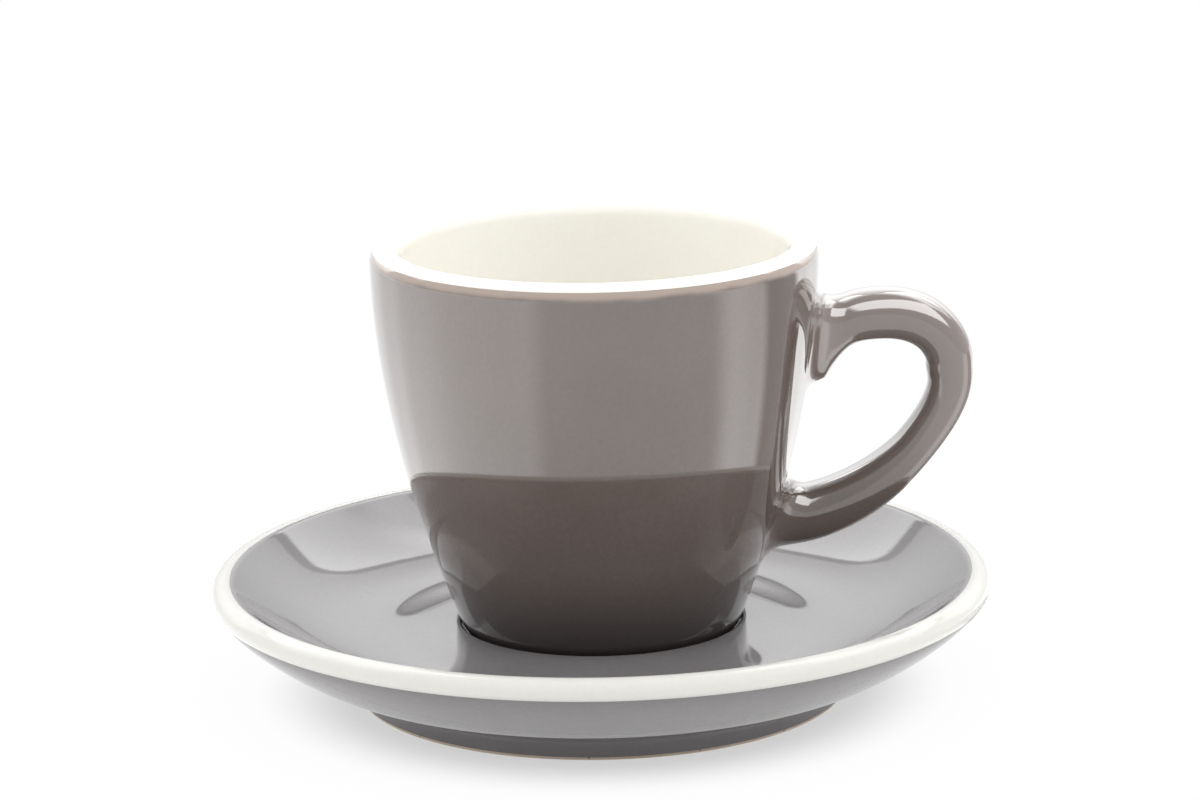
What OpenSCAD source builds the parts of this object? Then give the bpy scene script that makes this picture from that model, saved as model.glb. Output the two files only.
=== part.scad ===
// Cup and saucer in glazed porcelain.
// The cup stands in the saucer's seat and lifts straight off it.
// Origin: the centre of the saucer's foot on the table. The handle points along +X.

/* [Saucer] */
// Diameter over the saucer's rim
saucer_d = 115.6; // [108:0.2:130]
// Height of the rim's crest above the table
saucer_h = 18.2; // [16.5:0.1:22]
// Thickness of the rounded rim
rim_t = 4.4; // [3.6:0.1:5]
// Outer diameter of the foot ring
foot_d = 73; // [66:0.5:76]
// Width of the foot ring where it meets the table
foot_w = 2.6; // [2:0.1:4]
// Height at which the wing's underside leaves the foot ring
foot_h = 3.5; // [2.5:0.1:4.5]
// Slope of the wing's underside beside the foot ring, in degrees
wing_slope = 16; // [10:1:20]
// Height of the hollow inside the foot ring
hollow_h = 4.6; // [4.2:0.1:5]
// Diameter of the well, where the wing begins to rise
well_d = 66; // [58:0.5:70]
// Height of the well's edge
well_h = 9.4; // [8.8:0.1:10]

/* [Seat in the saucer] */
// Diameter of the seat that holds the cup's base
seat_d = 40.6; // [40.4:0.1:42]
// Height of the seat's floor
seat_h = 8.6; // [8.2:0.1:9]
// Height of the low ridge round the seat
ridge_h = 10.9; // [10.4:0.1:11.2]
// Distance from the seat's edge to the ridge's crest
ridge_run = 1.6; // [1:0.1:3]

/* [Cup] */
// Height of the cup from its foot to its lip
cup_h = 59.2; // [54:0.2:72]
// Diameter over the cup's lip
cup_d = 65.8; // [60:0.2:74]
// Radius of the lip's outer rounding
lip_out_r = 2.4; // [1.8:0.1:3]
// Radius of the lip's inner rounding
lip_in_r = 2.2; // [1.6:0.1:3]
// Diameter of the cup's base, where the wall begins
base_d = 41.6; // [38:0.1:41.6]
// Height of that line above the cup's foot
base_h = 2.1; // [1.9:0.1:2.4]
// Lean of the wall there from upright, in degrees
wall_lean = 22; // [16:1:26]
// Outer diameter of the cup's foot ring
cup_foot_d = 35.6; // [32:0.2:37]
// Width of the cup's foot ring
cup_foot_w = 2.4; // [1.6:0.1:4]
// Depth of the cup's foot ring on the outside
cup_foot_h = 0.9; // [0.7:0.1:1.2]
// Depth of the hollow inside the cup's foot ring
cup_hollow_h = 1.2; // [0.8:0.1:1.8]

/* [Inside of the cup] */
// Height of the inner floor above the foot
floor_h = 5.4; // [4.4:0.1:8]
// Inner diameter where the wall turns into the floor
turn_d = 38.6; // [32:0.2:39.4]
// Height of that turn above the foot
turn_h = 12; // [10:0.2:16]
// Diameter of the flat middle of the floor
flat_d = 15; // [8:0.5:22]

/* [Handle] */
// Drop from the cup's lip to the handle's upper root
upper_root_drop = 15.1; // [14.2:0.1:16.2]
// Height of the handle's lower root above the cup's foot
lower_root_h = 16.8; // [15:0.1:18.5]
// Drop from the lip to the crest of the handle's centreline
crest_drop = 11.8; // [10.7:0.1:13.2]
// Distance from the cup's widest circle out to the crest
crest_out = 9.3; // [8:0.1:10.5]
// Distance from the cup's widest circle to the outermost point of the centreline
reach_out = 18.9; // [17.5:0.1:20.5]
// Drop from the lip to that point
reach_drop = 19.2; // [18.2:0.1:20.2]
// Distance from the cup's widest circle to the knee of the lower arm
knee_out = 14; // [12.5:0.1:15]
// Drop from the lip to the knee
knee_drop = 31.7; // [30.2:0.1:33.2]
// Width of the handle across the finger
handle_w = 9; // [7:0.1:11]
// Thickness of the upper root
upper_root_t = 7.1; // [6:0.1:8]
// Thickness of the upper arm at the crest
upper_arm_t = 7.6; // [5:0.1:8.5]
// Thickness at the outermost point
grip_t = 7.1; // [5:0.1:8]
// Thickness of the lower arm at the knee
lower_arm_t = 6.1; // [5:0.1:8]
// Thickness of the lower root
lower_root_t = 8.5; // [7:0.1:9.5]

/* [Roots of the handle] */
// Radius of the fillet from the top of the upper root onto the wall
upper_top_fillet_r = 3.8; // [2:0.1:4.5]
// Drop of the toe under the upper root, below the arm
toe_drop = 2.3; // [1:0.1:3.2]
// Distance that the toe stands out from the wall
toe_t = 2.4; // [1.5:0.1:3]
// Distance from the toe to where the arm's underside levels off
toe_run = 3.2; // [2:0.1:5]
// Radius of the small fillet between the toe and the wall
toe_fillet_r = 0.6; // [0.3:0.1:1.2]
// Radius of the fillets at the sides of both roots
side_fillet_r = 4.3; // [2:0.1:5]
// Radius of the fillet above the lower root
lower_top_fillet_r = 3.5; // [1.5:0.1:4]
// Radius of the fillet below the lower root
lower_under_fillet_r = 2.2; // [1:0.1:4]

/* [Glaze] */
// Thickness of the fired glaze coats
glaze_t = 0.35; // [0.2:0.05:0.5]
// Height of the bare clay at the bottom of the saucer's foot ring
bare_h = 0.5; // [0.3:0.1:1]
// Angle on the lip's outer rounding at which the white glaze begins, in degrees
lip_edge_angle = 38; // [20:1:60]
// Angle on the saucer rim's inner rounding at which the white band ends, in degrees
band_in_angle = 106; // [92:1:125]

/* [Hidden] */
$fn = 96;
curve_steps = 14;
arc_steps = 6;
ring_steps = 12;
section_sides = 24;
settle_steps = 5;

saucer_r = saucer_d / 2;
rim_r = rim_t / 2;
rim_mid = [saucer_r - rim_r, saucer_h - rim_r];
foot_r = foot_d / 2;
foot_in_r = foot_r - foot_w;
seat_r = seat_d / 2;
well_r = well_d / 2;
cup_r = cup_d / 2;
lip_crest_r = cup_r - lip_out_r;
lip_t = lip_out_r + lip_in_r;
base_r = base_d / 2;
cup_foot_r = cup_foot_d / 2;
cup_foot_in_r = cup_foot_r - cup_foot_w;

// Shares of a curve's own rise that its pull points stand away from its ends
wall_low_share = 0.524;
wall_high_share = 0.151;
// Slope of the rim's inner side, where the wing meets it, in degrees
rim_slope = 38;
// Share of the underside's curve that the white band runs down, below the rim's widest circle
band_under_share = 0.1;
// Slope of the handle's centreline at its roots and at the knee, in degrees
upper_root_slope = 21.3;
lower_root_slope = 1.7;
knee_slope = 50.8;
// Shares of each stretch's own size that the centreline's pull points stand away from its ends
upper_arm_shares = [0.45, 0.57];
bend_shares = [1.03, 0.3];
grip_shares = [0.15, 0.8];
lower_arm_shares = [0.16, 0.54];
// How much the handle's section is squared off from an ellipse, and by how much more at the upper root
section_power = 2.5;
root_power = 1;
// Share of the upper root's thickness within which the rings turn to follow the wall
follow_share = 0.7;
// How much closer the rings stand near the wall
ring_ease = 1.7;

function bez_at(a, b, c, d, t) = pow(1 - t, 3) * a + 3 * pow(1 - t, 2) * t * b
    + 3 * (1 - t) * t * t * c + t * t * t * d;
function bez(a, b, c, d, n = curve_steps, from = 0, to = 1) = [for (i = [0:n])
    bez_at(a, b, c, d, from + (to - from) * i / n)];
function arc(mid, r, from, to, n = arc_steps) = [for (i = [0:n]) let (a = from + (to - from) * i / n)
    mid + r * [cos(a), sin(a)]];
function dir(a) = [cos(a), sin(a)];
function reversed(p) = [for (i = [len(p) - 1:-1:0]) p[i]];
function tail(p) = [for (i = [1:len(p) - 1]) p[i]];
function part(p, from, to) = [for (i = [from:to]) p[i]];
function joined(parts, i = 0) = i == len(parts) - 1 ? parts[i]
    : concat(parts[i], tail(joined(parts, i + 1)));
// Moves each point of an open outline by t to its left
function moved_in(p, t) = [for (i = [0:len(p) - 1])
    let (a = p[max(i - 1, 0)], b = p[min(i + 1, len(p) - 1)], d = (b - a) / norm(b - a))
    p[i] + t * [-d[1], d[0]]];

// Outline of the saucer's glazed surface, from the middle of the seat
// over the rim and down to the bare foot. The clay lies to its right.
seat_floor = [[0, seat_h], [seat_r - ridge_run, seat_h]];
seat_side = bez([seat_r - ridge_run, seat_h], [seat_r + ridge_run / 3, seat_h],
    [seat_r, ridge_h], [seat_r + ridge_run, ridge_h], arc_steps);
ridge_back = bez([seat_r + ridge_run, ridge_h], [seat_r + 3 * ridge_run, ridge_h],
    [well_r - 2 * ridge_run, well_h], [well_r, well_h], arc_steps);
rim_in = rim_mid + rim_r * dir(90 + rim_slope);
rim_rise = rim_in[1] - well_h;
wing = bez([well_r, well_h], [well_r + rim_rise, well_h], rim_in - rim_rise * dir(rim_slope), rim_in);
rim_top = arc(rim_mid, rim_r, 90 + rim_slope, band_in_angle);
rim_over = arc(rim_mid, rim_r, band_in_angle, 0, 2 * arc_steps);
under_start = [saucer_r, saucer_h - rim_r];
under_end = [foot_r + foot_h / 2, foot_h];
under_run = under_start[1] - foot_h;
function under_curve(n, from, to) = bez(under_start, under_start - [0, rim_r / 2],
    under_end + under_run * dir(wing_slope), under_end, n, from, to);
rim_under = under_curve(2, 0, band_under_share);
under_wing = under_curve(curve_steps, band_under_share, 1);
foot_side = bez(under_end, [foot_r + foot_h / 4, foot_h - glaze_t], [foot_r + glaze_t, foot_h - 3 * glaze_t],
    [foot_r, bare_h], arc_steps);

saucer_line = joined([seat_floor, seat_side, ridge_back, wing, rim_top, rim_over, rim_under,
    under_wing, foot_side]);
saucer_clay_line = moved_in(saucer_line, -glaze_t);
top_end = len(joined([seat_floor, seat_side, ridge_back, wing, rim_top])) - 1;
band_end = top_end + len(joined([rim_over, rim_under])) - 1;
under_last = len(saucer_line) - 1;

// Outline of the cup's glazed surface in its own heights, from the foot ring up the wall,
// over the lip and down to the middle of the inner floor. The clay lies to its left.
base_line = bez([cup_foot_r, cup_foot_h], [(cup_foot_r + 2 * base_r) / 3, cup_foot_h],
    [base_r, base_h] - base_h / 2 * dir(90 - wall_lean), [base_r, base_h], arc_steps);
lip_out_mid = [lip_crest_r, cup_h - lip_out_r];
lip_in_mid = [lip_crest_r, cup_h - lip_in_r];
wall_rise = lip_out_mid[1] - base_h;
wall_line = bez([base_r, base_h], [base_r, base_h] + wall_low_share * wall_rise * dir(90 - wall_lean),
    [cup_r, lip_out_mid[1] - wall_high_share * wall_rise], [cup_r, lip_out_mid[1]]);
lip_low = arc(lip_out_mid, lip_out_r, 0, lip_edge_angle, arc_steps / 2);
lip_high = arc(lip_out_mid, lip_out_r, lip_edge_angle, 90);
lip_inner = arc(lip_in_mid, lip_in_r, 90, 180);
inner_top = [cup_r - lip_t, cup_h - lip_in_r];
turn = [turn_d / 2, turn_h];
inner_rise = inner_top[1] - turn_h;
inner_wall = bez(inner_top, inner_top - [0, wall_high_share * inner_rise],
    turn + wall_low_share * inner_rise * dir(90 - wall_lean), turn);
inner_turn = bez(turn, turn - (turn_h - floor_h) * dir(90 - wall_lean),
    [flat_d, floor_h], [flat_d / 2, floor_h]);
inner_floor = [[flat_d / 2, floor_h], [0, floor_h]];

cup_line = joined([base_line, wall_line, lip_low, lip_high, lip_inner, inner_wall, inner_turn, inner_floor]);
cup_clay_line = moved_in(cup_line, glaze_t);
outer_end = len(joined([base_line, wall_line, lip_low])) - 1;
liner_last = len(cup_line) - 1;

// The cup's outer skin as a table of height and radius, and as a filled outline
skin_table = [for (p = part(cup_line, 0, outer_end)) [p[1], p[0]]];
function skin_r(h) = lookup(h, skin_table);

// Centreline of the handle in the XZ plane, from its upper to its lower root.
// Each point holds its distance from the axis, its height and the handle's thickness there.
crest = [cup_r + crest_out, cup_h - crest_drop];
reach = [cup_r + reach_out, cup_h - reach_drop];
knee = [cup_r + knee_out, cup_h - knee_drop];
upper_root_h = cup_h - upper_root_drop;
root_sink = glaze_t / 4;
upper_root = [skin_r(upper_root_h) - root_sink, upper_root_h];
lower_root = [skin_r(lower_root_h) - root_sink, lower_root_h];
upper_run = crest[0] - upper_root[0];
bend_run = reach_drop - crest_drop;
grip_run = knee_drop - reach_drop;
lower_run = knee[0] - lower_root[0];
root_depth = lip_t / 2;
follow_len = upper_root_t * follow_share;
function evenly(n) = [for (i = [0:n]) i / n];
function from_wall(n) = [for (i = [0:n]) pow(i / n, ring_ease)];
function to_wall(n) = [for (i = [0:n]) 1 - pow(1 - i / n, ring_ease)];
function stretch(a, b, c, d, t_from, t_to, places) = [for (t = places)
    concat(bez_at(a, b, c, d, t), t_from + (t_to - t_from) * t * t * (3 - 2 * t))];
function inside(root, slope, t, depths) = [for (k = depths) concat(root - k * root_depth * dir(slope), t)];
centreline = concat(
    inside(upper_root, upper_root_slope, upper_root_t, [1, 1 / 2]),
    joined([
        stretch(upper_root, upper_root + upper_run * upper_arm_shares[0] * dir(upper_root_slope),
            crest - [upper_run * upper_arm_shares[1], 0], crest,
            upper_root_t, upper_arm_t, from_wall(ring_steps)),
        stretch(crest, crest + [bend_run * bend_shares[0], 0], reach + [0, bend_run * bend_shares[1]], reach,
            upper_arm_t, grip_t, evenly(ring_steps)),
        stretch(reach, reach - [0, grip_run * grip_shares[0]],
            knee + grip_run * grip_shares[1] * dir(knee_slope), knee,
            grip_t, lower_arm_t, evenly(ring_steps)),
        stretch(knee, knee - lower_run * lower_arm_shares[0] * dir(knee_slope),
            lower_root + lower_run * lower_arm_shares[1] * dir(lower_root_slope), lower_root,
            lower_arm_t, lower_root_t, to_wall(2 * ring_steps))]),
    inside(lower_root, lower_root_slope, lower_root_t, [1 / 2, 1]));
last_ring = len(centreline) - 1;
reach_ring = 2 + 2 * ring_steps;
near_rings = 2 + ring_steps / 2;

// Growth of the section at a distance from the wall: a quarter circle, or the toe's outline
function fillet(gap, r) = gap >= r ? 0 : r - sqrt(pow(r, 2) - pow(r - max(gap, 0), 2));
function toe(gap) = fillet(gap, toe_fillet_r)
    + toe_drop * pow(max(0, min(1, 1 - (gap - toe_t) / toe_run)), 2);
function outer_growth(i, gap) = fillet(gap, i < reach_ring ? upper_top_fillet_r : lower_under_fillet_r);
function inner_growth(i, gap) = i < reach_ring ? toe(gap) : fillet(gap, lower_top_fillet_r);
function growth(i, gap, u) = let (side = fillet(gap, side_fillet_r))
    side + ((cos(u) > 0 ? outer_growth(i, gap) : inner_growth(i, gap)) - side) * pow(cos(u), 2);
function powered(v, power) = sign(v) * pow(abs(v), 2 / power);
function gap_of(p) = norm([p[0], p[1]]) - skin_r(p[2]);
// Slides a point along e until its distance from the cup's skin is gap
function settled(p, e, gap, steps = settle_steps) = steps == 0 ? p
    : settled(p + (gap - gap_of(p)) * e, e, gap, steps - 1);

// A point of a section square to the direction d at the centre c
function ring_point(c, d, out, side) = [c[0] - out * d[1], side, c[1] + out * d[0]];

// One ring of the handle's skin, square to the centreline and grown by coat.
// Near the wall the ring bends, so that all of it stands as far from the wall as its middle.
function ring(i, coat) =
    let (c = centreline[i], a = centreline[max(i - 1, 0)], b = centreline[min(i + 1, last_ring)],
        run = [b[0] - a[0], b[1] - a[1]], d = run / norm(run), e = sign(d[0]) * [d[0], 0, d[1]],
        half_t = c[2] / 2, half_w = handle_w / 2,
        mid_gap = c[0] - skin_r(c[1]), near = max(0, min(1, 1 - mid_gap / follow_len)),
        follow = near * near * (3 - 2 * near),
        power = section_power + (i < reach_ring ? follow * root_power : 0))
    [for (k = [0:section_sides - 1])
        let (u = 360 * k / section_sides, out = powered(cos(u), power), side = powered(sin(u), power),
            plain = ring_point(c, d, half_t * out, half_w * side),
            coated = ring_point(c, d, (half_t + coat) * out, (half_w + coat) * side),
            g = coat + growth(i, follow * mid_gap + (1 - follow) * gap_of(plain), u),
            full = ring_point(c, d, (half_t + g) * out, (half_w + g) * side))
        settled(full, e, follow * mid_gap + (1 - follow) * gap_of(coated))];

// A closed tube through rings first to last of the centreline
module tube(first, last, coat) {
    count = last - first + 1;
    n = section_sides;
    points = [for (i = [first:last], p = ring(i, coat)) p];
    sides = [for (i = [0:count - 2], k = [0:n - 1], half = [0, 1])
        let (a = i * n + k, b = i * n + (k + 1) % n, c = b + n, e = a + n) half == 0 ? [a, b, c] : [a, c, e]];
    first_cap = [for (k = [1:n - 2]) [0, k + 1, k]];
    last_cap = [for (k = [1:n - 2]) (count - 1) * n * [1, 1, 1] + [0, k, k + 1]];
    polyhedron(points = points, faces = concat(sides, first_cap, last_cap));
}

module turned(outline) {
    rotate_extrude() polygon(outline);
}

module coat_of(line, clay_line, from, to) {
    turned(concat(part(line, from, to), reversed(part(clay_line, from, to))));
}

module cup_place() {
    translate([0, 0, seat_h]) children();
}

// The cup filled in, out to the glaze's surface
module cup_filled() {
    turned(concat([[0, cup_foot_h]], part(cup_line, 0, outer_end), [[0, cup_line[outer_end][1]]]));
}

module upper_end() {
    tube(0, near_rings, -glaze_t);
}

module lower_end() {
    tube(last_ring - near_rings, last_ring, -glaze_t);
}

module outer_coat() {
    coat_of(cup_line, cup_clay_line, 0, outer_end);
}

module saucer_body() {
    color("#D9CDBF") turned(concat(saucer_clay_line,
        [[saucer_clay_line[under_last][0], 0], [foot_in_r, 0], [foot_in_r, hollow_h + glaze_t],
        [0, hollow_h + glaze_t]]));
}

module saucer_top_glaze() {
    color("#7F7A7A") coat_of(saucer_line, saucer_clay_line, 0, top_end);
}

module saucer_rim_glaze() {
    color("#F4F3EE") coat_of(saucer_line, saucer_clay_line, top_end, band_end);
}

module saucer_under_glaze() {
    color("#7F7A7A") coat_of(saucer_line, saucer_clay_line, band_end, under_last);
}

module saucer_foot_glaze() {
    color("#7F7A7A") turned([[0, hollow_h], [foot_in_r, hollow_h], [foot_in_r, hollow_h + glaze_t],
        [0, hollow_h + glaze_t]]);
}

module cup_body() {
    color("#D9CDBF") cup_place() turned(concat([[0, cup_hollow_h + glaze_t],
        [cup_foot_in_r, cup_hollow_h + glaze_t], [cup_foot_in_r, 0], [cup_foot_r, 0]], cup_clay_line));
}

module cup_outer_glaze() {
    color("#7A706D") cup_place() difference() {
        outer_coat();
        upper_end();
        lower_end();
    }
}

module cup_liner_glaze() {
    color("#F1F0E6") cup_place() coat_of(cup_line, cup_clay_line, outer_end, liner_last);
}

module cup_foot_glaze() {
    color("#7A706D") cup_place() turned([[0, cup_hollow_h], [cup_foot_in_r, cup_hollow_h],
        [cup_foot_in_r, cup_hollow_h + glaze_t], [0, cup_hollow_h + glaze_t]]);
}

module upper_slip_joint() {
    color("#CFC2B3") cup_place() intersection() {
        outer_coat();
        upper_end();
    }
}

module lower_slip_joint() {
    color("#CFC2B3") cup_place() intersection() {
        outer_coat();
        lower_end();
    }
}

module handle() {
    color("#D9CDBF") cup_place() difference() {
        tube(0, last_ring, -glaze_t);
        cup_filled();
    }
}

module handle_glaze() {
    color("#7A706D") cup_place() difference() {
        tube(1, last_ring - 1, 0);
        tube(0, last_ring, -glaze_t);
        cup_filled();
    }
}

saucer_body();
saucer_top_glaze();
saucer_rim_glaze();
saucer_under_glaze();
saucer_foot_glaze();
cup_body();
cup_outer_glaze();
cup_liner_glaze();
cup_foot_glaze();
upper_slip_joint();
lower_slip_joint();
handle();
handle_glaze();
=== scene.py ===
import math

import bmesh
import bpy
from mathutils import Matrix, Vector


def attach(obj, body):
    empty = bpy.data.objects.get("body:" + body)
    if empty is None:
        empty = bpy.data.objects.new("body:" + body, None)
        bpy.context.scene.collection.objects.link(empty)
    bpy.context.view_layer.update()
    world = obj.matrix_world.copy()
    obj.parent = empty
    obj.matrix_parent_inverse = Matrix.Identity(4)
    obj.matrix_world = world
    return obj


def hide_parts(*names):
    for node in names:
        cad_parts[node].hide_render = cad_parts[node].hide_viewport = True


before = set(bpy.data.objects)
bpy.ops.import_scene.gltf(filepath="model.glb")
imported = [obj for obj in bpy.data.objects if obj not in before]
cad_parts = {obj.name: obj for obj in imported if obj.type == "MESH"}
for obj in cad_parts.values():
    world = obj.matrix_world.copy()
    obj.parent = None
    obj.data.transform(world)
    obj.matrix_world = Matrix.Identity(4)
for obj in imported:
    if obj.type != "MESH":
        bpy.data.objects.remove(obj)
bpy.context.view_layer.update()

# The saucer's clay: one disc of porcelain, pressed on a wheel and turned on its foot ring.
# It was fired under the glaze, so only the foot ring shows it: bare, matt and sandy,
# with fine dark specks. Lengths are in millimetres and angles in degrees.
MM = 0.001
TURNS = 288
SHARP_TURN = 32
ON_AXIS_R = 1e-6
COLOUR_A, COLOUR_B, COLOUR_OUT = 6, 7, 2  # the colour sockets of a Mix node

saucer_r = 57.8
saucer_h = 18.2
rim_r = 2.2
foot_r = 36.5
foot_in_r = 33.9
foot_h = 3.5
hollow_h = 4.6
wing_slope = 16
well_r = 33
well_h = 9.4
seat_r = 20.3
seat_h = 8.6
ridge_h = 10.9
ridge_run = 1.6
rim_slope = 38
bare_h = 0.5
band_in_angle = 106     # where the white band begins on the rim's round
band_under_share = 0.1  # how much of the underside's curve it covers
glaze_t = 0.35


def along(angle, length=1.0):
    """A step of some length in the direction of an angle."""
    a = math.radians(angle)
    return Vector((length * math.cos(a), length * math.sin(a)))


def bez(a, b, c, d, n=36, start=0.0, stop=1.0):
    """Points of a cubic curve that runs from a to d and is pulled towards b and c."""
    a, b, c, d = Vector(a), Vector(b), Vector(c), Vector(d)
    steps = [start + (stop - start) * i / n for i in range(n + 1)]
    return [(1 - t) ** 3 * a + 3 * (1 - t) ** 2 * t * b + 3 * (1 - t) * t * t * c + t ** 3 * d for t in steps]


def arc(mid, r, start, stop, n=24):
    """Points of a circle's arc between two angles."""
    return [Vector(mid) + along(start + (stop - start) * i / n, r) for i in range(n + 1)]


def joined(*parts):
    """Lines joined end to end, with each shared point once."""
    line = list(parts[0])
    for part in parts[1:]:
        line += part[1:]
    return line


def moved_in(line, t):
    """Each point of an open outline, moved by t to its left."""
    out = []
    for i, p in enumerate(line):
        d = (line[min(i + 1, len(line) - 1)] - line[max(i - 1, 0)]).normalized()
        out.append(p + t * Vector((-d.y, d.x)))
    return out


def in_scene(name, data):
    """A new object, placed in the scene."""
    item = bpy.data.objects.new(name, data)
    bpy.context.scene.collection.objects.link(item)
    return item


def new_piece(name, verts, faces, sharp=()):
    """A mesh object from points in millimetres, shaded smooth but for the edges in sharp."""
    mesh = bpy.data.meshes.new(name)
    mesh.from_pydata([Vector(v) * MM for v in verts], [], faces)
    bm = bmesh.new()
    bm.from_mesh(mesh)
    bmesh.ops.recalc_face_normals(bm, faces=bm.faces)
    bm.to_mesh(mesh)
    bm.free()
    mesh.shade_smooth()
    for edge in mesh.edges:
        if tuple(sorted(edge.vertices)) in sharp:
            edge.use_edge_sharp = True
    return in_scene(name, mesh)


def turned(name, outline, lift=0.0):
    """A closed outline of (radius, height), turned round the Z axis as on a wheel."""
    verts, faces, first, sharp = [], [], [], set()
    count = len(outline)
    for r, z in outline:
        first.append(len(verts))
        rounds = 1 if r < ON_AXIS_R else TURNS
        for k in range(rounds):
            a = 2 * math.pi * k / TURNS
            verts.append((r * math.cos(a), r * math.sin(a), z + lift))
    for i in range(count):
        j = (i + 1) % count
        on_axis = [outline[i][0] < ON_AXIS_R, outline[j][0] < ON_AXIS_R]
        if all(on_axis):
            continue
        for k in range(TURNS):
            m = (k + 1) % TURNS
            a, b = first[i] + k, first[i] + m
            c, d = first[j] + m, first[j] + k
            if on_axis[0]:
                faces.append((first[i], c, d))
            elif on_axis[1]:
                faces.append((a, b, first[j]))
            else:
                faces.append((a, b, c, d))
    for i in range(count):
        before = Vector(outline[i]) - Vector(outline[i - 1])
        after = Vector(outline[(i + 1) % count]) - Vector(outline[i])
        if outline[i][0] > ON_AXIS_R and math.degrees(before.angle(after, 0)) > SHARP_TURN:
            sharp |= {tuple(sorted((first[i] + k, first[i] + (k + 1) % TURNS))) for k in range(TURNS)}
    return new_piece(name, verts, faces, sharp)


def linear(hex_colour):
    """An sRGB hex colour as the linear numbers that the shader takes."""
    parts = [int(hex_colour[i:i + 2], 16) / 255 for i in (1, 3, 5)]
    return [p / 12.92 if p <= 0.04045 else ((p + 0.055) / 1.055) ** 2.4 for p in parts] + [1.0]


def put(tree, kind, links=None, inputs=None, **settings):
    """Adds a node with its settings, its input values and its links."""
    node = tree.nodes.new(kind)
    for key, value in settings.items():
        setattr(node, key, value)
    for key, value in (inputs or {}).items():
        node.inputs[key].default_value = value
    for key, socket in (links or {}).items():
        tree.links.new(socket, node.inputs[key])
    return node


def new_material(name):
    """A material with nothing in its node tree, and that tree."""
    material = bpy.data.materials.new(name)
    material.use_nodes = True
    material.node_tree.nodes.clear()
    return material, material.node_tree


def per_mm(size):
    """The scale of a pattern whose features are size millimetres apart."""
    return 1 / (size * MM)


def bare_porcelain():
    """Bare fired porcelain, wiped clean before firing: matt and sandy, so it takes no highlight.
    Its grit is 0.45 mm, its dark specks lie 1.6 mm apart, and its colour drifts over 7 mm."""
    material, tree = new_material("bare_fired_porcelain")
    place = put(tree, "ShaderNodeTexCoord").outputs["Object"]
    grit = put(tree, "ShaderNodeTexNoise", {"Vector": place}, {"Scale": per_mm(0.45), "Detail": 4.0})
    cloud = put(tree, "ShaderNodeTexNoise", {"Vector": place}, {"Scale": per_mm(7), "Detail": 2.0})
    specks = put(tree, "ShaderNodeTexVoronoi", {"Vector": place}, {"Scale": per_mm(1.6)})
    dark = put(tree, "ShaderNodeMapRange", {"Value": specks.outputs["Distance"]},
               {"From Min": 0.07, "From Max": 0.13})
    clay = put(tree, "ShaderNodeMix", {"Factor": cloud.outputs["Fac"]},
               {COLOUR_A: linear("#CDBBA8"), COLOUR_B: linear("#DDD0C1")}, data_type="RGBA")
    spotted = put(tree, "ShaderNodeMix",
                  {"Factor": dark.outputs["Result"], COLOUR_B: clay.outputs[COLOUR_OUT]},
                  {COLOUR_A: linear("#8E7B68")}, data_type="RGBA")
    bump = put(tree, "ShaderNodeBump", {"Height": grit.outputs["Fac"]},
               {"Strength": 0.6, "Distance": 0.05 * MM})
    shader = put(tree, "ShaderNodeBsdfPrincipled",
                 {"Base Color": spotted.outputs[COLOUR_OUT], "Normal": bump.outputs["Normal"]},
                 {"Roughness": 0.85, "IOR": 1.5})
    put(tree, "ShaderNodeOutputMaterial", {"Surface": shader.outputs["BSDF"]})
    return material


def finish_piece(piece, material, body, slot, *nodes):
    """Gives a piece its material and its body, and hides the nodes that it stands for. slot, its finish, is
    not used.
    """
    piece.data.materials.append(material)
    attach(piece, body)
    if nodes:
        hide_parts(*nodes)


rim_mid = Vector((saucer_r - rim_r, saucer_h - rim_r))
rim_in = rim_mid + along(90 + rim_slope, rim_r)
rim_rise = rim_in.y - well_h
seat_edge = (seat_r - ridge_run, seat_h)
ridge = (seat_r + ridge_run, ridge_h)
well_edge = (well_r, well_h)
under_start = Vector((saucer_r, saucer_h - rim_r))
under_end = Vector((foot_r + foot_h / 2, foot_h))
under_run = under_start.y - foot_h

seat_line = joined(
    [Vector((0, seat_h)), Vector(seat_edge)],
    bez(seat_edge, (seat_r + ridge_run / 3, seat_h), (seat_r, ridge_h), ridge, n=20),
    bez(ridge, (seat_r + 3 * ridge_run, ridge_h), (well_r - 2 * ridge_run, well_h), well_edge, n=20))
wing_line = bez(well_edge, (well_r + rim_rise, well_h), rim_in - along(rim_slope, rim_rise), rim_in)
top_line = joined(seat_line, wing_line, arc(rim_mid, rim_r, 90 + rim_slope, band_in_angle, n=8))


def under_curve(n, start, stop):
    """A stretch of the underside's curve, from the rim at 0 to the foot ring at 1."""
    return bez(under_start, under_start - Vector((0, rim_r / 2)), under_end + along(wing_slope, under_run),
               under_end, n, start, stop)


band_line = joined(arc(rim_mid, rim_r, band_in_angle, 0), under_curve(6, 0.0, band_under_share))
under_line = joined(
    under_curve(36, band_under_share, 1.0),
    bez(under_end, (foot_r + foot_h / 4, foot_h - glaze_t), (foot_r + glaze_t, foot_h - 3 * glaze_t),
        (foot_r, bare_h), n=16))
saucer_line = joined(top_line, band_line, under_line)
saucer_clay_line = moved_in(saucer_line, -glaze_t)
hollow_top = hollow_h + glaze_t
saucer_clay = turned("saucer_clay", saucer_clay_line + [
    Vector((saucer_clay_line[-1].x, 0)), Vector((foot_in_r, 0)), Vector((foot_in_r, hollow_top)),
    Vector((0, hollow_top))])
porcelain = bare_porcelain()
finish_piece(saucer_clay, porcelain, "saucer", "bare_porcelain", "saucer_body")

# The saucer's grey glaze: a coloured glass melted over the clay, on the well, on the underside and
# inside the foot ring. It gives sharp reflections over a flat grey, a faint cloudiness where the
# coat varies, and a surface that waves by about a hundredth of a millimetre.
top_end = len(top_line) - 1
band_end = top_end + len(band_line) - 1
saucer_end = len(saucer_line) - 1


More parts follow.
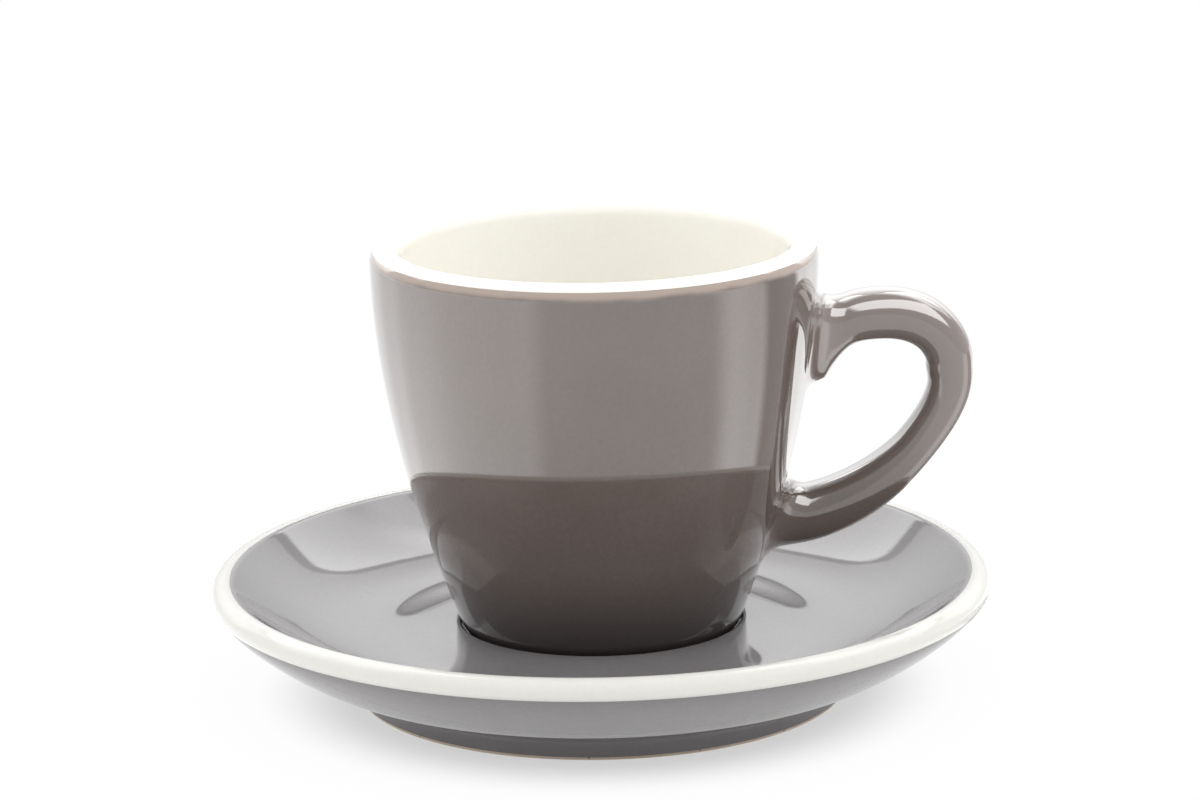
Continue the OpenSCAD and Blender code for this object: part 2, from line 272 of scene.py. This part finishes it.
def coat_between(name, start, stop, line, clay_line, lift=0.0):
    """The glaze between an outline and its clay, from the point start to the point stop."""
    return turned(name, line[start:stop + 1] + clay_line[start:stop + 1][::-1], lift)


def height_mask(tree, place, none_h, full_h, stray):
    """A mask that is 0 at one height above the seat and 1 at another. Its border strays up and down."""
    height = put(tree, "ShaderNodeSeparateXYZ", {"Vector": place}).outputs["Z"]
    if stray:
        slow = put(tree, "ShaderNodeTexNoise", {"Vector": place}, {"Scale": per_mm(5), "Detail": 2.0})
        shift = put(tree, "ShaderNodeMath", {0: slow.outputs["Fac"]},
                    {1: 2 * stray * MM, 2: -stray * MM}, operation="MULTIPLY_ADD")
        height = put(tree, "ShaderNodeMath", {0: height, 1: shift.outputs["Value"]},
                     operation="ADD").outputs["Value"]
    mask = put(tree, "ShaderNodeMapRange", {"Value": height},
               {"From Min": (seat_h + none_h) * MM, "From Max": (seat_h + full_h) * MM},
               interpolation_type="SMOOTHSTEP")
    return mask.outputs["Result"]


def glaze(name, colour, cloud_colour, ior=1.5, coat=1.0, wave=0.012, subsurface=0.0, edges=()):
    """Fired gloss glaze, with clouds 14 mm wide, a grain of 0.7 mm, swells of 9 mm that are wave high,
    and pinholes 2.6 mm apart. Each of edges is a colour mixed in by height, such as the thin glaze under
    the lip and painted shade at the foot, with the heights where this colour has not begun and is full, and
    how far its border strays."""
    material, tree = new_material(name)
    place = put(tree, "ShaderNodeTexCoord").outputs["Object"]
    cloud = put(tree, "ShaderNodeTexNoise", {"Vector": place}, {"Scale": per_mm(14), "Detail": 3.0})
    grain = put(tree, "ShaderNodeTexNoise", {"Vector": place}, {"Scale": per_mm(0.7), "Detail": 3.0})
    swell = put(tree, "ShaderNodeTexNoise", {"Vector": place}, {"Scale": per_mm(9), "Detail": 1.0})
    pits = put(tree, "ShaderNodeTexVoronoi", {"Vector": place}, {"Scale": per_mm(2.6)})
    pit = put(tree, "ShaderNodeMapRange", {"Value": pits.outputs["Distance"]},
              {"From Min": 0.02, "From Max": 0.10})
    mottle = put(tree, "ShaderNodeMath", {0: cloud.outputs["Fac"], 1: grain.outputs["Fac"]}, operation="ADD")
    share = put(tree, "ShaderNodeMapRange", {"Value": mottle.outputs["Value"]},
                {"From Min": 0.7, "From Max": 1.3})
    body = put(tree, "ShaderNodeMix", {"Factor": share.outputs["Result"]},
               {COLOUR_A: linear(colour), COLOUR_B: linear(cloud_colour)}, data_type="RGBA")
    shade = body.outputs[COLOUR_OUT]
    for edge_colour, none_h, full_h, stray in edges:
        edge = put(tree, "ShaderNodeMix",
                   {"Factor": height_mask(tree, place, none_h, full_h, stray), COLOUR_A: shade},
                   {COLOUR_B: linear(edge_colour)}, data_type="RGBA")
        shade = edge.outputs[COLOUR_OUT]
    waves = put(tree, "ShaderNodeBump", {"Height": swell.outputs["Fac"]},
                {"Strength": 1.0, "Distance": wave * MM})
    surface = put(tree, "ShaderNodeBump",
                  {"Height": pit.outputs["Result"], "Normal": waves.outputs["Normal"]},
                  {"Strength": 0.25, "Distance": 0.01 * MM})
    shader = put(tree, "ShaderNodeBsdfPrincipled",
                 {"Base Color": shade, "Normal": surface.outputs["Normal"],
                  "Coat Normal": waves.outputs["Normal"]},
                 {"Roughness": 0.06, "IOR": ior,
                  "Coat Weight": coat, "Coat Roughness": 0.02, "Coat IOR": ior})
    if subsurface:
        shader.inputs["Subsurface Weight"].default_value = subsurface
        shader.inputs["Subsurface Radius"].default_value = (1.0, 0.9, 0.8)
        shader.inputs["Subsurface Scale"].default_value = 1.2 * MM
    put(tree, "ShaderNodeOutputMaterial", {"Surface": shader.outputs["BSDF"]})
    return material


saucer_grey = glaze("grey_saucer_glaze", "#737071", "#797677", coat=0.0)
saucer_top = coat_between("saucer_top_coat", 0, top_end, saucer_line, saucer_clay_line)
finish_piece(saucer_top, saucer_grey, "saucer", "saucer_grey_glaze", "saucer_top_glaze")
saucer_under = coat_between("saucer_under_coat", band_end, saucer_end, saucer_line, saucer_clay_line)
finish_piece(saucer_under, saucer_grey, "saucer", "saucer_grey_glaze", "saucer_under_glaze")
saucer_hollow = turned("saucer_hollow_coat", [
    Vector((0, hollow_h)), Vector((foot_in_r, hollow_h)), Vector((foot_in_r, hollow_top)),
    Vector((0, hollow_top))])
finish_piece(saucer_hollow, saucer_grey, "saucer", "saucer_grey_glaze", "saucer_foot_glaze")

# The white band round the saucer's rim: a second glaze, drawn round with a brush on the wheel.
# It is thick and milky, so light spreads a little inside it and its edges are soft.
white = glaze("white_gloss_glaze", "#D3D1CC", "#D6D5D0", ior=1.3, coat=0.0, wave=0.008, subsurface=0.25)
saucer_band = coat_between("saucer_rim_coat", top_end, band_end, saucer_line, saucer_clay_line)
finish_piece(saucer_band, white, "saucer", "white_glaze", "saucer_rim_glaze")

# The cup's clay: a thick wall turned on a wheel, with a full round lip and a low foot ring,
# on which it stands in the saucer's seat. Only the foot ring is bare.
cup_h = 59.2
cup_r = 32.9
lip_out_r = 2.4
lip_in_r = 2.2
base_r = 20.8
base_h = 2.1
wall_lean = 22
cup_foot_r = 17.8
cup_foot_in_r = 15.4
cup_foot_h = 0.9
cup_hollow_h = 1.2
floor_h = 5.4
turn = Vector((19.3, 12))  # where the inside turns from its wall to its floor
flat_r = 7.5
wall_low_share = 0.524     # how far the wall's curve is pulled at its foot and at its lip
wall_high_share = 0.151
lip_edge_angle = 38        # where the grey glaze ends on the lip's round

up_wall = along(90 - wall_lean)
lip_out_mid = Vector((cup_r - lip_out_r, cup_h - lip_out_r))
lip_in_mid = Vector((cup_r - lip_out_r, cup_h - lip_in_r))
wall_start = Vector((base_r, base_h))
wall_rise = lip_out_mid.y - base_h
base_line = bez((cup_foot_r, cup_foot_h), ((cup_foot_r + 2 * base_r) / 3, cup_foot_h),
                wall_start - base_h / 2 * up_wall, wall_start, n=16)
wall_line = bez(wall_start, wall_start + wall_low_share * wall_rise * up_wall,
                (cup_r, lip_out_mid.y - wall_high_share * wall_rise), (cup_r, lip_out_mid.y), n=60)
outer_line = joined(base_line, wall_line, arc(lip_out_mid, lip_out_r, 0, lip_edge_angle, n=10))
inner_top = Vector((lip_in_mid.x - lip_in_r, lip_in_mid.y))
inner_rise = inner_top.y - turn.y
liner_line = joined(
    arc(lip_out_mid, lip_out_r, lip_edge_angle, 90, n=14), arc(lip_in_mid, lip_in_r, 90, 180),
    bez(inner_top, inner_top - Vector((0, wall_high_share * inner_rise)),
        turn + wall_low_share * inner_rise * up_wall, turn, n=48),
    bez(turn, turn - (turn.y - floor_h) * up_wall, (2 * flat_r, floor_h), (flat_r, floor_h)),
    [Vector((flat_r, floor_h)), Vector((0, floor_h))])
cup_line = joined(outer_line, liner_line)
cup_clay_line = moved_in(cup_line, glaze_t)
cup_hollow_top = cup_hollow_h + glaze_t
cup_clay = turned("cup_clay", [
    Vector((0, cup_hollow_top)), Vector((cup_foot_in_r, cup_hollow_top)), Vector((cup_foot_in_r, 0)),
    Vector((cup_foot_r, 0))] + cup_clay_line, seat_h)
finish_piece(cup_clay, porcelain, "cup", "bare_porcelain", "cup_body")

# The cup's grey glaze: the cup is dipped in it upside down and the lip is wiped. It is warmer
# than the saucer's, and thins to beige for a millimetre under the lip, where the clay shows through.
# Towards the foot its colour is painted darker: painted shade for the low wall, which faces down towards the
# dark saucer.
WARM_GREY, WARM_GREY_CLOUD = "#5F544F", "#655A55"
outer_end = len(outer_line) - 1
grey_top_h = outer_line[-1].y
thin_under_lip = ("#9E8F84", grey_top_h - 1.5, grey_top_h - 0.5, 0.4)
# Painted shade at the foot: the colour darkens from 17.5 mm above the seat down to 1 mm.
painted_shade_at_foot = ("#2E2725", 17.5, 1.0, 0.0)

cup_grey = glaze("warm_grey_cup_glaze", WARM_GREY, WARM_GREY_CLOUD, edges=[thin_under_lip, painted_shade_at_foot])
cup_outer = coat_between("cup_outer_coat", 0, outer_end, cup_line, cup_clay_line, seat_h)
finish_piece(cup_outer, cup_grey, "cup", "grey_glaze", "cup_outer_glaze")
cup_hollow = turned("cup_hollow_coat", [
    Vector((0, cup_hollow_h)), Vector((cup_foot_in_r, cup_hollow_h)), Vector((cup_foot_in_r, cup_hollow_top)),
    Vector((0, cup_hollow_top))], seat_h)
finish_piece(cup_hollow, cup_grey, "cup", "grey_glaze", "cup_foot_glaze")

# The white liner: a glaze poured into the cup, swilled round and drawn over the lip.
# It is milky, and its colour is painted lighter and creamier than the saucer's white band: painted light for
# the light that bounces from wall to wall inside.
liner_white_and_painted_bounce = glaze("white_liner_glaze_and_painted_bounce", "#F5F2E9", "#F7F5EE", ior=1.3, coat=0.0, wave=0.008, subsurface=0.25)
cup_liner = coat_between("cup_liner_coat", outer_end, len(cup_line) - 1, cup_line, cup_clay_line, seat_h)
finish_piece(cup_liner, liner_white_and_painted_bounce, "cup", "white_glaze", "cup_liner_glaze")

# The handle: a cast loop of the same clay, pressed onto the leather-hard cup with slip. The maker
# smoothed both roots into the wall with a wet sponge: they flare onto it at the sides, and the upper
# one ends in a thin toe below.
SIDES = 72
RINGS = 44
ROOT_EASE = 1.7
SETTLE_STEPS = 5
handle_w = 9.0
section_power = 2.5
root_power = 1.0
root_sink = glaze_t / 4
sunk_slope = 6.0
upper_root_h = 44.1
lower_root_h = 16.8
upper_root_slope = 21.3
lower_root_slope = 1.7
crest = Vector((cup_r + 9.3, 47.4))
reach = Vector((cup_r + 18.9, 40.0))
knee = Vector((cup_r + 14.0, 27.5))
knee_slope = 50.8
thickness = [7.1, 7.6, 7.1, 6.1, 8.5]  # at the upper root, crest, reach, knee and lower root
upper_arm_shares = [0.45, 0.57]        # how far each stretch is pulled at its two ends
bend_shares = [1.03, 0.3]
grip_shares = [0.15, 0.8]
lower_arm_shares = [0.16, 0.54]
side_fillet_r = 4.3
upper_top_fillet_r = 3.8
toe_drop = 2.3
toe_t = 2.4
toe_run = 3.2
toe_fillet_r = 0.6
lower_top_fillet_r = 3.5
lower_under_fillet_r = 2.2
follow_len = 0.7 * thickness[0]
cap_shares = [0.75, 0.5, 0.25]         # the rings that close each end, as shares of the end's ring

skin_table = [(p.y, p.x) for p in outer_line]


def skin_r(h):
    """Radius of the cup's glazed outside at a height."""
    for (h0, r0), (h1, r1) in zip(skin_table, skin_table[1:]):
        if h0 <= h <= h1:
            return r0 + (r1 - r0) * (h - h0) / max(h1 - h0, 1e-9)
    return skin_table[0][1] if h < skin_table[0][0] else skin_table[-1][1]


upper_root = Vector((skin_r(upper_root_h) - root_sink, upper_root_h))
lower_root = Vector((skin_r(lower_root_h) - root_sink, lower_root_h))
upper_run = crest.x - upper_root.x
bend_run = crest.y - reach.y
grip_run = reach.y - knee.y
lower_run = knee.x - lower_root.x
pulls = [
    (upper_root, upper_root + along(upper_root_slope, upper_arm_shares[0] * upper_run),
     crest - Vector((upper_arm_shares[1] * upper_run, 0)), crest),
    (crest, crest + Vector((bend_shares[0] * bend_run, 0)),
     reach + Vector((0, bend_shares[1] * bend_run)), reach),
    (reach, reach - Vector((0, grip_shares[0] * grip_run)),
     knee + along(knee_slope, grip_shares[1] * grip_run), knee),
    (knee, knee - along(knee_slope, lower_arm_shares[0] * lower_run),
     lower_root + along(lower_root_slope, lower_arm_shares[1] * lower_run), lower_root)]


def centre_at(u):
    """Centre point, direction and thickness of the handle at u, which runs from 0 to 4 over its
    four stretches."""
    k = min(int(u), 3)
    a, b, c, d = pulls[k]
    t = u - k
    s = 1 - t
    point = s ** 3 * a + 3 * s * s * t * b + 3 * s * t * t * c + t ** 3 * d
    run = 3 * s * s * (b - a) + 6 * s * t * (c - b) + 3 * t * t * (d - c)
    ease = t * t * (3 - 2 * t)
    return point, run.normalized(), thickness[k] + (thickness[k + 1] - thickness[k]) * ease


def gap_to_skin(p):
    """How far a point stands off the cup's glazed outside."""
    return math.hypot(p.x, p.y) - skin_r(p.z)


def fillet(gap, r):
    """How far a fillet of radius r stands out at a distance from the wall. Under the skin it runs on
    at an even slope."""
    sunk = sunk_slope * max(-gap, 0)
    return sunk if gap >= r else sunk + r - math.sqrt(r * r - (r - max(gap, 0)) ** 2)


def toe(gap):
    """The toe's outline under the upper root: a blunt end, then a hollow that levels off into the arm."""
    return fillet(gap, toe_fillet_r) + toe_drop * max(0, min(1, 1 - (gap - toe_t) / toe_run)) ** 2


def growth(u, gap, ca):
    """How far the skin stands out from the plain section, in a direction whose cosine to the top is ca."""
    side = fillet(gap, side_fillet_r)
    if ca > 0:
        end = fillet(gap, upper_top_fillet_r if u < 2 else lower_under_fillet_r)
    else:
        end = toe(gap) if u < 2 else fillet(gap, lower_top_fillet_r)
    return side + (end - side) * ca * ca


def handle_ring(u, coat, shrink=1.0):
    """One ring of the handle's skin. Near the wall it bends, so that all of it stands as far off
    as its middle."""
    p, d, t = centre_at(u)
    e = Vector((d.x, 0, d.y)) * math.copysign(1, d.x)
    across = Vector((-d.y, 0, d.x))
    middle = Vector((p.x, 0, p.y))
    mid_gap = p.x - skin_r(p.y)
    near = max(0.0, min(1.0, 1 - mid_gap / follow_len))
    follow = near * near * (3 - 2 * near)
    power = section_power + (follow * root_power if u < 2 else 0)
    ring = []
    for k in range(SIDES):
        a = 2 * math.pi * k / SIDES
        ca, sa = math.cos(a), math.sin(a)
        out = math.copysign(abs(ca) ** (2 / power), ca)
        side = math.copysign(abs(sa) ** (2 / power), sa)

        def grown(g):
            return middle + across * ((t / 2 + g) * out) + Vector((0, (handle_w / 2 + g) * side, 0))

        plain_gap = follow * mid_gap + (1 - follow) * gap_to_skin(grown(0))
        gap = follow * mid_gap + (1 - follow) * gap_to_skin(grown(coat))
        q = middle + shrink * (grown(coat + growth(u, plain_gap, ca)) - middle)
        for _ in range(SETTLE_STEPS):
            q += e * (gap - gap_to_skin(q))
        ring.append(q)
    return ring


def ring_places():
    """Places along the handle, packed closer at the roots where the flare turns fast."""
    first = [(i / RINGS) ** ROOT_EASE for i in range(RINGS)]
    middle = [1 + i / RINGS for i in range(2 * RINGS)]
    last = [4 - (1 - i / (2 * RINGS)) ** ROOT_EASE for i in range(2 * RINGS + 1)]
    return first + middle + last


def skin_faces(rings, flip=False, start=0):
    """The faces between rings that follow each other, from the point start on."""
    faces = []
    for i in range(rings - 1):
        for k in range(SIDES):
            a, b = start + i * SIDES + k, start + i * SIDES + (k + 1) % SIDES
            face = (a, b, b + SIDES, a + SIDES)
            faces.append(face[::-1] if flip else face)
    return faces


def ring_edges(i):
    """The edges round the ring with the number i."""
    return {tuple(sorted((i * SIDES + k, i * SIDES + (k + 1) % SIDES))) for k in range(SIDES)}


def ring_points(rings):
    """All points of some rings, at the height of the cup in its seat."""
    return [point + Vector((0, 0, seat_h)) for ring in rings for point in ring]


places = ring_places()
clay_rings = [handle_ring(u, -glaze_t) for u in places]
cap_rings = [[handle_ring(end, -glaze_t, share) for share in cap_shares] for end in (0, 4)]
rings = cap_rings[0][::-1] + clay_rings + cap_rings[1]
faces = skin_faces(len(rings))
faces.append(tuple(range(SIDES)))
faces.append(tuple(range((len(rings) - 1) * SIDES, len(rings) * SIDES)))
root_edges = ring_edges(len(cap_shares)) | ring_edges(len(cap_shares) + len(clay_rings) - 1)
handle_clay = new_piece("handle_clay", ring_points(rings), faces, root_edges)
finish_piece(handle_clay, porcelain, "cup", "bare_porcelain", "handle")

# The handle's glaze: the cup's warm grey, run over the whole loop up to its two roots. Its colour is
# paler on the loop's upper part, beginning 20 mm above the seat and full from 32 mm.
paler_upper_loop = ("#776C68", 20.0, 32.0, 0.0)
coat_rings = [handle_ring(u, 0.0) for u in places]
count = len(coat_rings)
faces = skin_faces(count) + skin_faces(count, flip=True, start=count * SIDES)
root_edges = set()
for i in (0, count - 1):
    root_edges |= ring_edges(i) | ring_edges(i + count)
    for k in range(SIDES):
        a, b = i * SIDES + k, i * SIDES + (k + 1) % SIDES
        faces.append((a, b, b + count * SIDES, a + count * SIDES))
handle_grey = glaze("warm_grey_handle_glaze", WARM_GREY, WARM_GREY_CLOUD, edges=[paler_upper_loop])
handle_coat = new_piece("handle_coat", ring_points(coat_rings + clay_rings), faces, root_edges)
finish_piece(handle_coat, handle_grey, "cup", "grey_glaze", "handle_glaze")

# The slip joints: the thin layers of liquid clay that stick the handle's ends to the cup. The firing
# makes them the same porcelain as the cup and the handle, so they take its material.
for name in ("upper_slip_joint", "lower_slip_joint"):
    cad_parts[name].data.materials.clear()
    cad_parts[name].data.materials.append(porcelain)

# The floor and the background: a white sheet under and behind the set. Round the saucer's foot it
# keeps half of the shadow, and further out it is nearly as white as the background.
SHADOW_SHARE = 0.5
OUTER_WHITE = 0.96
SHADOW_IN_R, SHADOW_OUT_R = 0.037, 0.053
SHEET_HALF_W = 3.0

white_sheet, tree = new_material("white_sheet")
light_path = put(tree, "ShaderNodeLightPath")
seen = put(tree, "ShaderNodeMath",
           {0: light_path.outputs["Is Camera Ray"], 1: light_path.outputs["Is Glossy Ray"]},
           operation="MAXIMUM")
seen_all = put(tree, "ShaderNodeMath",
               {0: seen.outputs["Value"], 1: light_path.outputs["Is Transmission Ray"]},
               operation="MAXIMUM")
place = put(tree, "ShaderNodeTexCoord").outputs["Object"]
from_middle = put(tree, "ShaderNodeVectorMath", {0: place}, operation="LENGTH")
lit_share = put(tree, "ShaderNodeMapRange", {"Value": from_middle.outputs["Value"]},
                {"From Min": SHADOW_IN_R, "From Max": SHADOW_OUT_R,
                 "To Min": 1 - SHADOW_SHARE, "To Max": OUTER_WHITE},
                interpolation_type="SMOOTHSTEP")
share = put(tree, "ShaderNodeMath",
            {0: seen_all.outputs["Value"], 1: lit_share.outputs["Result"]}, operation="MULTIPLY")
paper = put(tree, "ShaderNodeBsdfDiffuse", inputs={"Color": linear("#FAFAFA")})
lit = put(tree, "ShaderNodeEmission", inputs={"Color": linear("#FFFFFF"), "Strength": 1.0})
both = put(tree, "ShaderNodeMixShader",
           {0: share.outputs["Value"], 1: paper.outputs["BSDF"], 2: lit.outputs["Emission"]})
put(tree, "ShaderNodeOutputMaterial", {"Surface": both.outputs["Shader"]})
sheet_mesh = bpy.data.meshes.new("floor")
sheet_mesh.from_pydata(
    [(x * SHEET_HALF_W, y * SHEET_HALF_W, 0) for x, y in ((-1, -1), (1, -1), (1, 1), (-1, 1))],
    [], [(0, 1, 2, 3)])
sheet_mesh.materials.append(white_sheet)
in_scene("floor", sheet_mesh)

# The room: a white tent, plain on all sides. It lights the set evenly at the level AMBIENT, and the
# glaze mirrors it as white.
AMBIENT = 0.70

world = bpy.data.worlds.new("studio")
bpy.context.scene.world = world
world.use_nodes = True
tree = world.node_tree
tree.nodes.clear()
light_path = put(tree, "ShaderNodeLightPath")
matt = put(tree, "ShaderNodeMapRange", {"Value": light_path.outputs["Is Diffuse Ray"]},
           {"To Min": 1.0, "To Max": AMBIENT})
sky = put(tree, "ShaderNodeBackground", {"Strength": matt.outputs["Result"]}, {"Color": linear("#FFFFFF")})
put(tree, "ShaderNodeOutputWorld", {"Surface": sky.outputs["Background"]})

# The lamps: soft white panels above, at both sides and behind the set. Each is a light for the matt
# part of the surfaces, a glow that only the gloss mirrors, or both in one place.


def panel(name, place, aim, width, length, radiance=0.0, glow=0.0, soft=(0.02, 0.02)):
    """A white panel with soft edges. Radiance 1 lights the set as a white room does, and glow is what
    the glaze mirrors of it beyond the room's white. soft gives the shares of its width and length
    that fade out."""
    for kind, level in (("light", radiance), ("glow", glow)):
        if not level:
            continue
        lamp = bpy.data.lights.new(name + "_" + kind, "AREA")
        lamp.shape = "RECTANGLE"
        lamp.size = width
        lamp.size_y = length
        lamp.energy = level * math.pi * width * length
        lamp.use_nodes = True
        tree = lamp.node_tree
        tree.nodes.clear()
        spot = put(tree, "ShaderNodeSeparateXYZ",
                   {"Vector": put(tree, "ShaderNodeNewGeometry").outputs["Parametric"]})
        masks = []
        for axis, fade in zip("XY", soft):
            off = put(tree, "ShaderNodeMath", {0: spot.outputs[axis]}, {1: 0.5}, operation="SUBTRACT")
            size = put(tree, "ShaderNodeMath", {0: off.outputs["Value"]}, operation="ABSOLUTE")
            masks.append(put(tree, "ShaderNodeMapRange", {"Value": size.outputs["Value"]},
                             {"From Min": 0.5 - fade, "From Max": 0.5, "To Min": 1.0, "To Max": 0.0},
                             interpolation_type="SMOOTHSTEP").outputs["Result"])
        mask = put(tree, "ShaderNodeMath", {0: masks[0], 1: masks[1]}, operation="MULTIPLY")
        shine = put(tree, "ShaderNodeEmission", {"Strength": mask.outputs["Value"]})
        put(tree, "ShaderNodeOutputLight", {"Surface": shine.outputs["Emission"]})
        lamp_object = in_scene(name + "_" + kind, lamp)
        lamp_object.location = place
        lamp_object.rotation_euler = (Vector(aim) - Vector(place)).to_track_quat("-Z", "Y").to_euler()
        lamp_object.visible_camera = False
        lamp_object.visible_glossy = kind == "glow"
        lamp_object.visible_diffuse = kind == "light"


panel("roof", (0.2, -0.1, 0.8), (0.2, -0.1, 0), 1.6, 1.3, radiance=0.9, glow=5.0)
panel("left_side", (-0.75, -0.2, 0.35), (0, 0, 0.04), 0.7, 0.6, radiance=1.6)
panel("right_side", (0.75, -0.2, 0.35), (0, 0, 0.04), 0.7, 0.6, radiance=1.6)
panel("backdrop", (0, 1.6, 1.6), (0, 0, 1.6), 4.0, 3.2, glow=1.8, soft=(0.05, 0.3))
panel("upper_backdrop", (0, 1.6, 1.9), (0, 0, 1.9), 0.95, 1.9, glow=1.8, soft=(0.05, 0.2))

# Two softboxes behind the set, high at the left and the right. The saucer's wing mirrors their lower
# inner corners, and the dim seams of their frames draw the thin lines on it. box_corner is the right
# one's lower inner corner, and the left one is its mirror image.
BOX_W, BOX_H, BOX_CORNER_R = 1.6, 0.95, 0.2
SEAM_W, SEAM_GAP, SEAM_LEVEL = 0.085, 0.01, 1.7
box_corner = Vector((0.527, 1.622, 1.045))
box_along = Vector((0.775, -0.632, 0))
box_up = Vector((-0.417, -0.51, 0.752))
box_face = Vector((-0.476, -0.583, -0.659))


def mirrored_card(name, points, faces, material):
    """A flat card that only glossy rays see, so that it shows in the glaze and lights nothing."""
    mesh = bpy.data.meshes.new(name)
    mesh.from_pydata(points, [], faces)
    mesh.materials.append(material)
    card = in_scene(name, mesh)
    card.visible_camera = card.visible_diffuse = card.visible_shadow = card.visible_transmission = False


def seam_edge(out):
    """The inner and the lower edge of a softbox as one line with a round corner, moved out by so much."""
    corner = arc((BOX_CORNER_R, BOX_CORNER_R), BOX_CORNER_R + out, 180, 270)
    return [(-out, BOX_H)] + corner + [(BOX_W, -out)]


seam_cloth, tree = new_material("seam_cloth")
dim_cloth = put(tree, "ShaderNodeEmission", inputs={"Strength": SEAM_LEVEL})
put(tree, "ShaderNodeOutputMaterial", {"Surface": dim_cloth.outputs["Emission"]})
seam = seam_edge(0) + seam_edge(SEAM_W)
seam_count = len(seam) // 2
seam_faces = [(i, i + 1, i + 1 + seam_count, i + seam_count) for i in range(seam_count - 1)]
middle = box_corner + box_along * BOX_W / 2 + box_up * BOX_H / 2
top = middle + box_up * BOX_H / 2
for side, name in ((1, "right"), (-1, "left")):
    flip = Vector((side, 1, 1))
    panel(name + "_softbox", middle * flip, (middle + box_face) * flip, BOX_W, BOX_H,
          glow=2.35, soft=(0.005, 0.01))
    panel(name + "_softbox_top", top * flip, (top + box_face) * flip, BOX_W, BOX_H,
          glow=2.0, soft=(0.005, 0.3))
    seam_points = [(box_corner + SEAM_GAP * box_face + box_along * a + box_up * b) * flip for a, b in seam]
    mirrored_card(name + "_seam", seam_points, seam_faces, seam_cloth)

# A ring of white cards on the table round the saucer, which the cup's wall mirrors. Its brightness
# changes with the direction: lit most at the left and the right, with a dark gap behind the handle.
# ring_stops gives direction and brightness. The direction counts clockwise from the back, seen from above.
RING_LEVEL = 2.5
RING_SIDES = 96
RING_IN_R, RING_OUT_R, RING_H = 0.062, 3.0, 0.0008
ring_stops = [
    (-180, 1.4), (-158, 1.5), (-145, 2.2), (-94, 2.2), (-65, 1.7), (-45, 1.2), (-25, 1.0), (30, 1.2),
    (50, 1.8), (58, 2.2), (64, 0.55), (84, 0.55), (92, 1.8), (110, 2.4), (124, 1.4), (180, 1.4)]

ring_cards, tree = new_material("ring_of_cards")
spot = put(tree, "ShaderNodeSeparateXYZ", {"Vector": put(tree, "ShaderNodeTexCoord").outputs["Object"]})
bearing = put(tree, "ShaderNodeMath", {0: spot.outputs["X"], 1: spot.outputs["Y"]}, operation="ARCTAN2")
turn_share = put(tree, "ShaderNodeMapRange", {"Value": bearing.outputs["Value"]},
                 {"From Min": -math.pi, "From Max": math.pi})
ramp = put(tree, "ShaderNodeValToRGB", {"Fac": turn_share.outputs["Result"]})
ramp.color_ramp.interpolation = "EASE"
stops = ramp.color_ramp.elements
for azimuth, level in ring_stops:
    if azimuth == -180:
        stop = stops[0]
    elif azimuth == 180:
        stop = stops[len(stops) - 1]
    else:
        stop = stops.new((azimuth + 180) / 360)
    stop.color = (level / RING_LEVEL, level / RING_LEVEL, level / RING_LEVEL, 1)
shine = put(tree, "ShaderNodeEmission", {"Color": ramp.outputs["Color"]}, {"Strength": RING_LEVEL})
put(tree, "ShaderNodeOutputMaterial", {"Surface": shine.outputs["Emission"]})
card_points, card_faces = [], []
for k in range(RING_SIDES):
    a, m = 2 * math.pi * k / RING_SIDES, (k + 1) % RING_SIDES
    card_points += [(r * math.cos(a), r * math.sin(a), RING_H) for r in (RING_IN_R, RING_OUT_R)]
    card_faces.append((2 * k, 2 * k + 1, 2 * m + 1, 2 * m))
mirrored_card("table_cards", card_points, card_faces, ring_cards)

# A softbox high in front at the right, which only the handle mirrors. It draws the bright band
# along the handle's arm.
panel("handle_softbox", (0.26, -0.4, 0.62), (0.05, 0, 0.06), 1.0, 0.75, glow=6.0, soft=(0.1, 0.12))
only_handle = bpy.data.collections.new("only_handle")
only_handle.objects.link(handle_coat)
bpy.data.objects["handle_softbox_glow"].light_linking.receiver_collection = only_handle

# The camera: the photograph's long lens, 65 centimetres from the set and looking down by 14 degrees.
# Its turn and its shift follow the photograph's framing.
FOCAL_PX = 4400
IMAGE_W = 1200
SENSOR_MM = 36
distance = 0.6477
elevation = math.radians(13.79)
tilt = math.radians(-1.11)
look_at_h = 0.0436
look_at_px = 597.3

camera = bpy.data.cameras.new("camera")
camera.sensor_width = SENSOR_MM
camera.lens = FOCAL_PX / IMAGE_W * SENSOR_MM
camera.shift_x = (IMAGE_W / 2 - look_at_px) / IMAGE_W
camera.clip_start = 0.01
camera_object = in_scene("camera", camera)
camera_object.matrix_world = (
    Matrix.Translation((0, -distance * math.cos(elevation), look_at_h + distance * math.sin(elevation)))
    @ Matrix.Rotation(math.pi / 2 - elevation, 4, "X") @ Matrix.Rotation(tilt, 4, "Z"))
bpy.context.scene.camera = camera_object
bpy.context.scene.view_settings.view_transform = "Standard"
